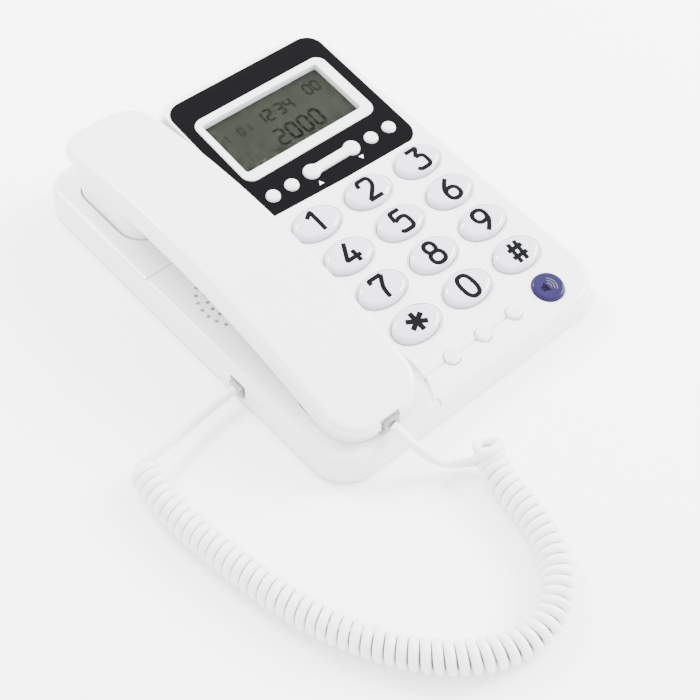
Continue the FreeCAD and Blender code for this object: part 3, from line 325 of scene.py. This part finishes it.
class Workshop:
    """Puts pieces on bodies with their finishes and reports them."""

    def __init__(self, finishes: Finishes) -> None:
        """Keeps the finishes and the frame's tables."""
        self.finishes = finishes
        self.slots = {part["node"]: part["material_slot"] for part in frame["record"]["subparts"]}
        self.bodies = {node: body for body, nodes in frame["record"]["behaviour"]["bodies"].items()
                       for node in nodes}

    def add(self, name: str, mesh: bpy.types.Mesh, body: str, finish: str,
            slot: str = "") -> bpy.types.Object:
        """Makes an object of a mesh and puts it on a body.

        Args:
            name: the piece's name.
            mesh: its mesh, in the frame's metres.
            body: the CAD body it rides on.
            finish: the name of its finish.
            slot: the record's slot, when it isn't the finish's own name; not used.

        Returns:
            The new object.
        """
        piece = bpy.data.objects.new(name, mesh)
        bpy.context.scene.collection.objects.link(piece)
        self.put(piece, body, finish)
        return piece

    def put(self, piece: bpy.types.Object, body: str, finish: str) -> None:
        """Gives a piece its finish and its body.

        Args:
            piece: the object.
            body: the CAD body it rides on, or nothing for a piece that bends between two.
            finish: the name of its finish.
        """
        piece.data.materials.clear()
        piece.data.materials.append(self.finishes[finish])
        if body:
            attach(piece, body)
        LOG.info("%s on %s in %s", piece.name, body or "two bodies", finish)

    def from_bmesh(self, name: str, form: bmesh.types.BMesh, body: str, finish: str, slot: str = "",
                   smooth: float = 35.0) -> bpy.types.Object:
        """Makes a piece of a bmesh, smooth but for its corners."""
        mesh = bpy.data.meshes.new(name)
        bmesh.ops.recalc_face_normals(form, faces=form.faces)
        form.to_mesh(mesh)
        form.free()
        mesh.shade_smooth()
        mesh.set_sharp_from_angle(angle=math.radians(smooth))
        return self.add(name, mesh, body, finish, slot)

    def smooth_node(self, node: str, finish: str = "") -> bpy.types.Object:
        """Replaces a CAD node by a joined copy with smooth shading.

        Args:
            node: the CAD node.
            finish: a finish, when it isn't the node's own slot.

        Returns:
            The copy, under the node's name with _skin.
        """
        slot = self.slots[node]
        form = bmesh.new()
        form.from_mesh(frame["nodes"][node].data)
        form.transform(frame["nodes"][node].matrix_world)
        bmesh.ops.remove_doubles(form, verts=form.verts, dist=2e-6)
        bmesh.ops.dissolve_limit(form, angle_limit=math.radians(0.4), use_dissolve_boundaries=False,
                                 verts=form.verts, edges=form.edges, delimit=set())
        mesh = bpy.data.meshes.new(node + "_skin")
        form.to_mesh(mesh)
        form.free()
        mesh.shade_smooth()
        mesh.set_sharp_from_angle(angle=math.radians(28))
        piece = self.add(node + "_skin", mesh, self.bodies[node], finish or slot, slot)
        weigh = piece.modifiers.new("even_shading", "WEIGHTED_NORMAL")
        weigh.keep_sharp = True
        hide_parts(node)
        return piece

    def strokes(self, name: str, lines: Sequence[tuple[bool, bool, list]], width: float, place: Matrix,
                body: str, finish: str, slot: str) -> bpy.types.Object:
        """Draws a sign with an even round stroke, pressed flat.

        Args:
            name: the piece's name.
            lines: each line as (curved, closed, points in metres).
            width: the stroke's width.
            place: where the drawing's origin lies.
            body: the CAD body it rides on.
            finish: its finish.
            slot: the record's slot; not used.

        Returns:
            The piece.
        """
        curve = bpy.data.curves.new(name, "CURVE")
        curve.dimensions = "3D"
        curve.bevel_depth = width / 2
        curve.bevel_resolution = 2
        curve.resolution_u = 6
        curve.use_fill_caps = True
        for curved, closed, points in lines:
            if not curved and not closed:
                points = rounded(points, width * 0.35)
            spline = curve.splines.new("NURBS" if curved else "POLY")
            spline.points.add(len(points) - 1)
            for point, (x, y) in zip(spline.points, points):
                point.co = (x, y, 0.0, 1.0)
            if curved:
                spline.order_u = 3
                spline.use_endpoint_u = not closed
            spline.use_cyclic_u = closed
        holder = bpy.data.objects.new(name + "_pen", curve)
        bpy.context.scene.collection.objects.link(holder)
        bpy.context.view_layer.update()
        mesh = bpy.data.meshes.new_from_object(holder.evaluated_get(bpy.context.evaluated_depsgraph_get()))
        bpy.data.objects.remove(holder)
        mesh.transform(place @ Matrix.Diagonal((1, 1, 0.04, 1)))
        return self.add(name, mesh, body, finish, slot)


# ---------------------------------------------------------------- camera and light
@dataclass
class Studio:
    """Camera, floor and lights."""

    eye: tuple[float, float, float] = (-0.2367, -0.3115, 0.4118)
    azimuth: float = math.radians(-39.64)
    elevation: float = math.radians(51.45)
    roll: float = math.radians(-1.52)
    lens: float = 60.56

    def camera(self) -> None:
        """Sets the camera at its angle."""
        az, el, roll = self.azimuth, self.elevation, self.roll
        back = Vector((math.sin(az) * math.cos(el), -math.cos(az) * math.cos(el), math.sin(el)))
        right = Vector((math.cos(az), math.sin(az), 0))
        up = back.cross(right)
        turned = math.cos(roll) * right + math.sin(roll) * up
        upright = -math.sin(roll) * right + math.cos(roll) * up
        data = bpy.data.cameras.new("viewpoint")
        data.lens = self.lens
        data.sensor_width = 36.0
        data.clip_start = 0.01
        data.clip_end = 20
        eye = bpy.data.objects.new("viewpoint", data)
        bpy.context.scene.collection.objects.link(eye)
        columns = Matrix((turned, upright, back)).transposed().to_4x4()
        eye.matrix_world = Matrix.Translation(self.eye) @ columns
        bpy.context.scene.camera = eye

    def floor(self) -> None:
        """Lays a plain pale floor."""
        form = bmesh.new()
        bmesh.ops.create_grid(form, x_segments=1, y_segments=1, size=4.0)
        mesh = bpy.data.meshes.new("table_top")
        form.to_mesh(mesh)
        form.free()
        plane = bpy.data.objects.new("table_top", mesh)
        bpy.context.scene.collection.objects.link(plane)
        bench = Bench("table_white")
        bench.set(Base_Color=(0.97, 0.97, 0.97, 1.0), Roughness=0.85)
        mesh.materials.append(bench.material)

    def lamp(self, name: str, place: Sequence[float], target: Sequence[float], size: float,
             power: float) -> None:
        """Hangs one square lamp.

        Args:
            name: its name.
            place: where it hangs.
            target: where it points.
            size: its side.
            power: its watts.
        """
        data = bpy.data.lights.new(name, "AREA")
        data.size = size
        data.energy = power
        lamp = bpy.data.objects.new(name, data)
        lamp.location = place
        lamp.rotation_mode = "QUATERNION"
        lamp.rotation_quaternion = (Vector(target) - Vector(place)).to_track_quat("-Z", "Y")
        bpy.context.scene.collection.objects.link(lamp)

    def light(self) -> None:
        """Sets the soft surround and the lamps."""
        world = bpy.data.worlds.new("soft_room")
        world.use_nodes = True
        world.node_tree.nodes["Background"].inputs["Color"].default_value = (1.0, 1.0, 1.0, 1.0)
        world.node_tree.nodes["Background"].inputs["Strength"].default_value = 4.2
        bpy.context.scene.world = world
        self.lamp("high_lamp", (-0.1, 1.0, 1.1), (0, 0, 0), 0.5, 40.0)
        self.lamp("right_lamp", (1.2, -0.4, 0.9), (0, 0, 0), 0.7, 75.0)


# ---------------------------------------------------------------- cord
@dataclass
class CurlyCord:
    """The handset cord: a lead out of the base, the coil, and a lead up to the handset."""

    wire: float = 0.004
    outer: float = 0.0138
    turns: float = 64.0
    steps: int = 14
    end_swell: float = 0.3
    sides: int = 12
    spacing: float = 0.0016
    settle_passes: int = 40
    base_stretch: int = 12
    handset_stretch: int = 26
    base_lead: tuple[tuple[float, float, float], ...] = (
        (-1.2, 68.0, 7.6), (-12.0, 67.5, 6.6), (-25.0, 66.0, 6.9), (-38.0, 63.6, 8.4), (-50.0, 60.4, 10.2))
    coil: tuple[tuple[float, float, float], ...] = (
        (-53.6, 62.5, 7.0), (-56.3, 47.0, 7.0), (-55.4, 27.0, 7.0), (-52.3, 5.0, 7.0), (-48.2, -18.0, 7.0),
        (-42.0, -40.0, 7.0), (-32.0, -60.5, 7.0), (-19.5, -78.0, 7.0), (-3.0, -90.8, 7.0),
        (16.5, -95.4, 7.0), (33.0, -88.5, 7.0), (44.0, -75.0, 7.0), (49.6, -58.0, 7.0),
        (51.6, -41.0, 7.3), (55.2, -28.6, 9.8), (55.6, -24.6, 15.6))
    handset_lead: tuple[tuple[float, float, float], ...] = (
        (31.2, 2.7, 20.0), (31.6, -4.6, 18.6), (34.4, -11.6, 12.6), (39.6, -17.4, 6.4), (47.4, -21.8, 4.2),
        (54.0, -27.6, 5.0))

    def route(self, name: str, points: Iterable[Sequence[float]]) -> bpy.types.Object:
        """Draws one smooth line through the room.

        Args:
            name: the curve's name.
            points: its control points in desk millimetres.

        Returns:
            A curve object with one NURBS spline.
        """
        curve = bpy.data.curves.new(name, "CURVE")
        curve.dimensions = "3D"
        curve.resolution_u = 12
        places = [desk(*p) for p in points]
        spline = curve.splines.new("NURBS")
        spline.points.add(len(places) - 1)
        for point, place in zip(spline.points, places):
            point.co = (*place, 1.0)
        spline.order_u = 3
        spline.use_endpoint_u = True
        line = bpy.data.objects.new(name, curve)
        bpy.context.scene.collection.objects.link(line)
        return line

    def read(self, line: bpy.types.Object) -> list[Vector]:
        """Gives the points along a drawn line and takes the line away."""
        bpy.context.view_layer.update()
        mesh = bpy.data.meshes.new_from_object(line.evaluated_get(bpy.context.evaluated_depsgraph_get()))
        points = [v.co.copy() for v in mesh.vertices]
        bpy.data.objects.remove(line)
        return points

    def at_lengths(self, points: list[Vector], count: int) -> list[Vector]:
        """Gives evenly spaced places along a line of points."""
        far = [0.0]
        for a, b in zip(points, points[1:]):
            far.append(far[-1] + (b - a).length)
        out = []
        j = 0
        for i in range(count):
            want = far[-1] * i / (count - 1)
            while j < len(far) - 2 and far[j + 1] < want:
                j += 1
            t = (want - far[j]) / max(far[j + 1] - far[j], 1e-9)
            out.append(points[j].lerp(points[j + 1], min(1.0, max(0.0, t))))
        return out

    def helix(self) -> list[Vector]:
        """Winds the wire round the coil's line.

        Returns:
            Points along the wire.
        """
        axis = self.at_lengths(self.read(self.route("coil_axis", self.coil)), int(self.turns * self.steps))
        radius = (self.outer - self.wire) / 2
        side = Vector((0, 0, 1))
        wound = []
        for i, place in enumerate(axis):
            along = (axis[min(i + 1, len(axis) - 1)] - axis[max(i - 1, 0)]).normalized()
            side = (side - along * side.dot(along)).normalized()
            across = along.cross(side)
            angle = math.pi / 2 - 2 * math.pi * i / self.steps
            opened = 1.0 + self.end_swell * max(0.0, 1.0 - (len(axis) - 1 - i) / (2.2 * self.steps))
            wound.append(place + radius * opened * (math.cos(angle) * across + math.sin(angle) * side))
        return wound

    def tube(self, name: str, line: list[Vector]) -> bpy.types.Object:
        """Sweeps the round wire along a line of points.

        Args:
            name: the piece's name.
            line: points along the wire's middle.

        Returns:
            The wire as a mesh object.
        """
        curve = bpy.data.curves.new(name + "_sweep", "CURVE")
        curve.dimensions = "3D"
        curve.bevel_depth = self.wire / 2
        curve.bevel_resolution = self.sides // 2 - 2
        curve.use_fill_caps = True
        spline = curve.splines.new("POLY")
        spline.points.add(len(line) - 1)
        for point, place in zip(spline.points, line):
            point.co = (*place, 1.0)
        holder = bpy.data.objects.new(name + "_sweep", curve)
        bpy.context.scene.collection.objects.link(holder)
        bpy.context.view_layer.update()
        mesh = bpy.data.meshes.new_from_object(holder.evaluated_get(bpy.context.evaluated_depsgraph_get()))
        bpy.data.objects.remove(holder)
        mesh.shade_smooth()
        piece = bpy.data.objects.new(name, mesh)
        bpy.context.scene.collection.objects.link(piece)
        return piece

    def build(self, workshop: Workshop) -> None:
        """Makes the coil with its base lead, and the lead to the handset."""
        plug = workshop.smooth_node("base_cord_plug")
        lead = self.at_lengths(self.read(self.route("lead_line", self.base_lead)), 40)
        last = self.at_lengths(self.read(self.route("handset_line", self.handset_lead)), 40)
        wire = self.helix()
        onward = (last[-1] - last[-3]).normalized()
        ending = [last[-1] + onward * 0.004, last[-1] + onward * 0.0015, last[-1]]
        line = lead[:-4] + self.read(self.bridge(lead[-4:], wire[:6])) + wire[6:-6]
        line += self.read(self.bridge(wire[-6:-1], ending))
        line = self.at_lengths(line, int(self.measure(line) / self.spacing))
        joint = int(self.measure(lead) / self.spacing)
        self.settle(line, joint - self.base_stretch, joint + self.base_stretch)
        self.settle(line, len(line) - self.handset_stretch, len(line) - 1)
        coil = self.tube("curly_cord", line)
        workshop.put(coil, "base", "white_pvc")
        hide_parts("cord_coil", "cord_lead_base")
        round(self.measure(line), 4)
        up = self.tube("handset_lead", last)
        workshop.put(up, "", "white_pvc")
        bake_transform(up)
        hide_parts("cord_lead_handset")
        round(self.measure(last), 4)
        LOG.info("curly cord %.3f m, handset lead %.3f m", self.measure(line), self.measure(last))

    def settle(self, line: list[Vector], start: int, stop: int) -> None:
        """Smooths one stretch of a line, where two pieces of it meet."""
        for _ in range(self.settle_passes):
            line[start:stop] = [(line[i - 1] + line[i] * 2 + line[i + 1]) / 4 for i in range(start, stop)]

    def bridge(self, before: list[Vector], after: list[Vector]) -> bpy.types.Object:
        """Draws the short smooth piece that joins a lead to the coil."""
        curve = bpy.data.curves.new("bridge", "CURVE")
        curve.dimensions = "3D"
        curve.resolution_u = 4
        spline = curve.splines.new("NURBS")
        places = before + after
        spline.points.add(len(places) - 1)
        for point, place in zip(spline.points, places):
            point.co = (*place, 1.0)
        spline.order_u = 3
        spline.use_endpoint_u = True
        line = bpy.data.objects.new("bridge", curve)
        bpy.context.scene.collection.objects.link(line)
        return line

    def measure(self, line: list[Vector]) -> float:
        """Gives a line's length."""
        return sum((b - a).length for a, b in zip(line, line[1:]))


# ---------------------------------------------------------------- keypad
def loop(x: float, y: float, half_x: float, half_y: float, square: float = 2.3) -> tuple[bool, bool, list]:
    """Gives a closed rounded ring as one line of a sign."""
    points = []
    for i in range(24):
        a = 2 * math.pi * i / 24
        c, s = math.cos(a), math.sin(a)
        points.append((x + half_x * math.copysign(abs(c) ** (2 / square), c),
                       y + half_y * math.copysign(abs(s) ** (2 / square), s)))
    return (False, True, points)


SIX = [(True, False, [(0.47, 0.99), (0.2, 0.74), (0.03, 0.5), (0.03, 0.28)]), loop(0.31, 0.29, 0.28, 0.275)]
SIGNS: dict[str, list] = {
    "0": [loop(0.31, 0.5, 0.29, 0.49, 2.5)],
    "1": [(False, False, [(0.04, 0.78), (0.34, 0.99), (0.34, 0.0)])],
    "2": [(True, False, [(0.03, 0.72), (0.03, 0.99), (0.31, 0.99), (0.6, 0.99), (0.62, 0.62), (0.35, 0.34),
                         (0.03, 0.03)]), (False, False, [(0.0, 0.03), (0.64, 0.03)])],
    "3": [(False, False, [(0.04, 0.97), (0.58, 0.97), (0.28, 0.6)]),
          (True, False, [(0.27, 0.6), (0.6, 0.62), (0.64, 0.3), (0.6, 0.01), (0.28, 0.01), (0.08, 0.01),
                         (0.0, 0.14)])],
    "4": [(False, False, [(0.42, 0.99), (0.02, 0.26), (0.68, 0.26)]),
          (False, False, [(0.48, 0.56), (0.48, 0.0)])],
    "5": [(False, False, [(0.58, 0.97), (0.12, 0.97), (0.07, 0.54)]),
          (True, False, [(0.07, 0.54), (0.26, 0.64), (0.6, 0.63), (0.64, 0.31), (0.6, 0.01), (0.28, 0.01),
                         (0.08, 0.01), (0.0, 0.12)])],
    "6": SIX,
    "7": [(False, False, [(0.03, 0.8), (0.03, 0.97), (0.61, 0.97)]),
          (True, False, [(0.61, 0.97), (0.36, 0.58), (0.27, 0.3), (0.27, 0.0)])],
    "8": [loop(0.31, 0.75, 0.22, 0.235), loop(0.31, 0.27, 0.285, 0.26)],
    "9": [(curved, closed, [(0.62 - x, 1 - y) for x, y in points]) for curved, closed, points in SIX],
    "*": [(False, False, [(0.31 - 0.42 * math.cos(a), 0.5 - 0.42 * math.sin(a)),
                          (0.31 + 0.42 * math.cos(a), 0.5 + 0.42 * math.sin(a))])
          for a in (math.pi / 2, math.pi / 6, -math.pi / 6)],
    "#": [(False, False, [(0.12, 0.04), (0.24, 0.96)]), (False, False, [(0.42, 0.04), (0.54, 0.96)]),
          (False, False, [(-0.04, 0.33), (0.66, 0.33)]), (False, False, [(0.0, 0.68), (0.7, 0.68)])],
}


@dataclass
class Keypad:
    """Twelve oval keys with their digits."""

    first_x: float = 73.8
    first_y: float = 35.4
    pitch_x: float = 30.85
    pitch_y: float = 22.1
    rise: float = 2.6
    height: float = 0.012
    stroke: float = 0.0022
    rows: tuple[tuple[tuple[str, str], ...], ...] = (
        (("key_star", "*"), ("key_0", "0"), ("key_hash", "#")),
        (("key_7", "7"), ("key_8", "8"), ("key_9", "9")),
        (("key_4", "4"), ("key_5", "5"), ("key_6", "6")),
        (("key_1", "1"), ("key_2", "2"), ("key_3", "3")))

    def build(self, workshop: Workshop) -> None:
        """Dresses each key and lays its digit on it."""
        for row, keys in enumerate(self.rows):
            for column, (node, sign) in enumerate(keys):
                workshop.smooth_node(node)
                place = deck_matrix(self.first_x + column * self.pitch_x, self.first_y + row * self.pitch_y,
                                    self.rise + 0.01)
                lines = [(curved, closed, [((x - 0.31) * self.height, (y - 0.5) * self.height)
                                           for x, y in points]) for curved, closed, points in SIGNS[sign]]
                width = self.stroke * (1.15 if sign == "*" else 1.0)
                workshop.strokes(node + "_sign", lines, width, place, node, "black_ink", "clear_key")


@dataclass
class SpeakerButton:
    """The round button with its sound sign and its shallow rings."""

    x: float = 134.5
    y: float = 14.2
    rise: float = 1.6

    def build(self, workshop: Workshop) -> None:
        """Dresses the button and draws its sign."""
        workshop.smooth_node("speaker_button")
        place = deck_matrix(self.x, self.y, self.rise + 0.01)
        horn = [(False, True, [(-3.6 * MM, 0.9 * MM), (-2.4 * MM, 0.9 * MM), (-0.9 * MM, 2.3 * MM),
                               (-0.9 * MM, -2.3 * MM), (-2.4 * MM, -0.9 * MM), (-3.6 * MM, -0.9 * MM)]),
                (False, False, [(-2.9 * MM, 0.0), (-1.4 * MM, 0.0)]),
                (False, False, [(-1.4 * MM, 1.3 * MM), (-1.4 * MM, -1.3 * MM)])]
        workshop.strokes("speaker_sign", horn, 0.0009, place, "speaker_button", "black_ink", "purple_button")
        waves = []
        for radius in (1.9, 3.2, 4.5):
            arc = [((-0.9 + radius * math.cos(a)) * MM, radius * math.sin(a) * MM)
                   for a in [math.radians(-52 + 8 * i) for i in range(14)]]
            waves.append((False, False, arc))
        workshop.strokes("speaker_waves", waves, 0.0005, place, "speaker_button", "dark_plastic",
                         "purple_button")


# ---------------------------------------------------------------- display
@dataclass
class Display:
    """The LCD's digits and the signs printed on the black panel."""

    bars: dict = field(default_factory=lambda: {
        "0": "abcdef", "1": "bc", "2": "abged", "3": "abgcd", "4": "fgbc", "5": "afgcd", "6": "afgedc",
        "7": "abc", "8": "abcdefg", "9": "abcdfg"})
    level: float = -2.22
    clear_of_lcd: float = 0.0003

    def bar(self, form: bmesh.types.BMesh, x: float, y: float, length: float, thick: float,
            upright: bool) -> None:
        """Adds one pointed bar to a digit, lying flat.

        Args:
            form: the bmesh it is added to.
            x: its middle.
            y: its middle.
            length: its length.
            thick: its width.
            upright: whether it stands.
        """
        half, wide = length / 2, thick / 2
        corners = [(-half, 0), (-half + wide, wide), (half - wide, wide), (half, 0), (half - wide, -wide),
                   (-half + wide, -wide)]
        if upright:
            corners = [(-b, a) for a, b in corners]
        form.faces.new([form.verts.new((x + a, y + b, 0)) for a, b in corners])

    def digit(self, form: bmesh.types.BMesh, sign: str, x: float, y: float, high: float,
              wide: float) -> None:
        """Adds one digit of seven bars, its lower left corner at x, y."""
        thick = high * 0.13
        gap = high * 0.02
        h = high / 2
        places = {"a": (wide / 2, high, False), "g": (wide / 2, h, False), "d": (wide / 2, 0, False),
                  "f": (0, h * 1.5, True), "b": (wide, h * 1.5, True), "e": (0, h / 2, True),
                  "c": (wide, h / 2, True)}
        for name in self.bars[sign]:
            px, py, upright = places[name]
            length = (h if upright else wide) - gap * 2
            self.bar(form, x + px, y + py, length, thick, upright)

    def line(self, form: bmesh.types.BMesh, text: str, x: float, y: float, high: float) -> None:
        """Adds a row of digits, colons and blanks."""
        wide = high * 0.5
        for sign in text:
            if sign == ":":
                self.bar(form, x, y + high * 0.3, high * 0.12, high * 0.12, False)
                self.bar(form, x, y + high * 0.7, high * 0.12, high * 0.12, False)
                x += wide * 0.45
            elif sign == " ":
                x += wide * 1.5
            else:
                self.digit(form, sign, x, y, high, wide)
                x += wide * 1.55

    def figures(self, workshop: Workshop) -> None:
        """Draws the date, the time and the year on the LCD."""
        form = bmesh.new()
        self.line(form, "1", 70.5, 163.2, 5.0)
        self.line(form, "01", 80.0, 163.2, 5.0)
        self.line(form, "12:34", 91.6, 163.0, 6.8)
        self.line(form, "00", 122.6, 165.2, 6.2)
        self.line(form, "2000", 92.5, 147.6, 9.4)
        for vert in form.verts:
            x, y, _ = vert.co
            vert.co = deck_matrix(x, y, self.level) @ Vector((0, 0, 0))
        workshop.from_bmesh("lcd_figures", form, "base", "segment_ink", "lcd_grey")

    def triangle(self, form: bmesh.types.BMesh, x: float, y: float, size: float, towards: Way) -> None:
        """Adds one small solid triangle pointing up or down the panel."""
        way = towards.value
        corners = [(x - size, y - way * size * 0.7), (x + size, y - way * size * 0.7), (x, y + way * size)]
        if way < 0:
            corners.reverse()
        form.faces.new([form.verts.new(deck_matrix(a, b, 0.34) @ Vector((0, 0, 0))) for a, b in corners])

    def build(self, workshop: Workshop) -> None:
        """Dresses the display's pieces and draws its figures."""
        for node in ("display_panel", "display_frame", "lcd_module"):
            workshop.smooth_node(node)
        window = workshop.smooth_node("display_window")
        up = Matrix.Rotation(DECK_TILT, 3, "X") @ Vector((0, 0, self.clear_of_lcd))
        window.data.transform(Matrix.Translation(up))
        self.figures(workshop)
        form = bmesh.new()
        self.triangle(form, 90.6, 118.7, 1.3, Way.BACK)
        self.triangle(form, 116.3, 119.3, 1.3, Way.FRONT)
        workshop.from_bmesh("panel_arrows", form, "base", "white_ink", "black_panel")


# ---------------------------------------------------------------- the whole telephone
@dataclass
class Housing:
    """Every remaining CAD piece, dressed as it is."""

    done: tuple[str, ...] = (
        "base_cord_plug", "display_panel", "display_frame", "lcd_module", "display_window", "cord_coil",
        "cord_lead_base", "cord_lead_handset", "speaker_button")
    # The handset socket and jack get a grey finish in place of their own slot: painted shade for the
    # shadowed jack opening.
    other_finish: dict = field(default_factory=lambda: {
        "handset_socket": "socket_grey", "handset_jack": "socket_grey"})

    def build(self, workshop: Workshop) -> None:
        """Dresses shells, buttons, boards and fixings."""
        for node in sorted(frame["nodes"]):
            is_key = node.startswith("key_")
            if node in self.done or is_key:
                continue
            workshop.smooth_node(node, self.other_finish.get(node, ""))


def main() -> None:
    """Builds the telephone and its studio."""
    logging.basicConfig(level=logging.INFO)
    studio = Studio()
    studio.camera()
    workshop = Workshop(Finishes())
    CurlyCord().build(workshop)
    Keypad().build(workshop)
    SpeakerButton().build(workshop)
    Display().build(workshop)
    Housing().build(workshop)
    studio.floor()
    studio.light()


if __name__ == "__main__":
    main()
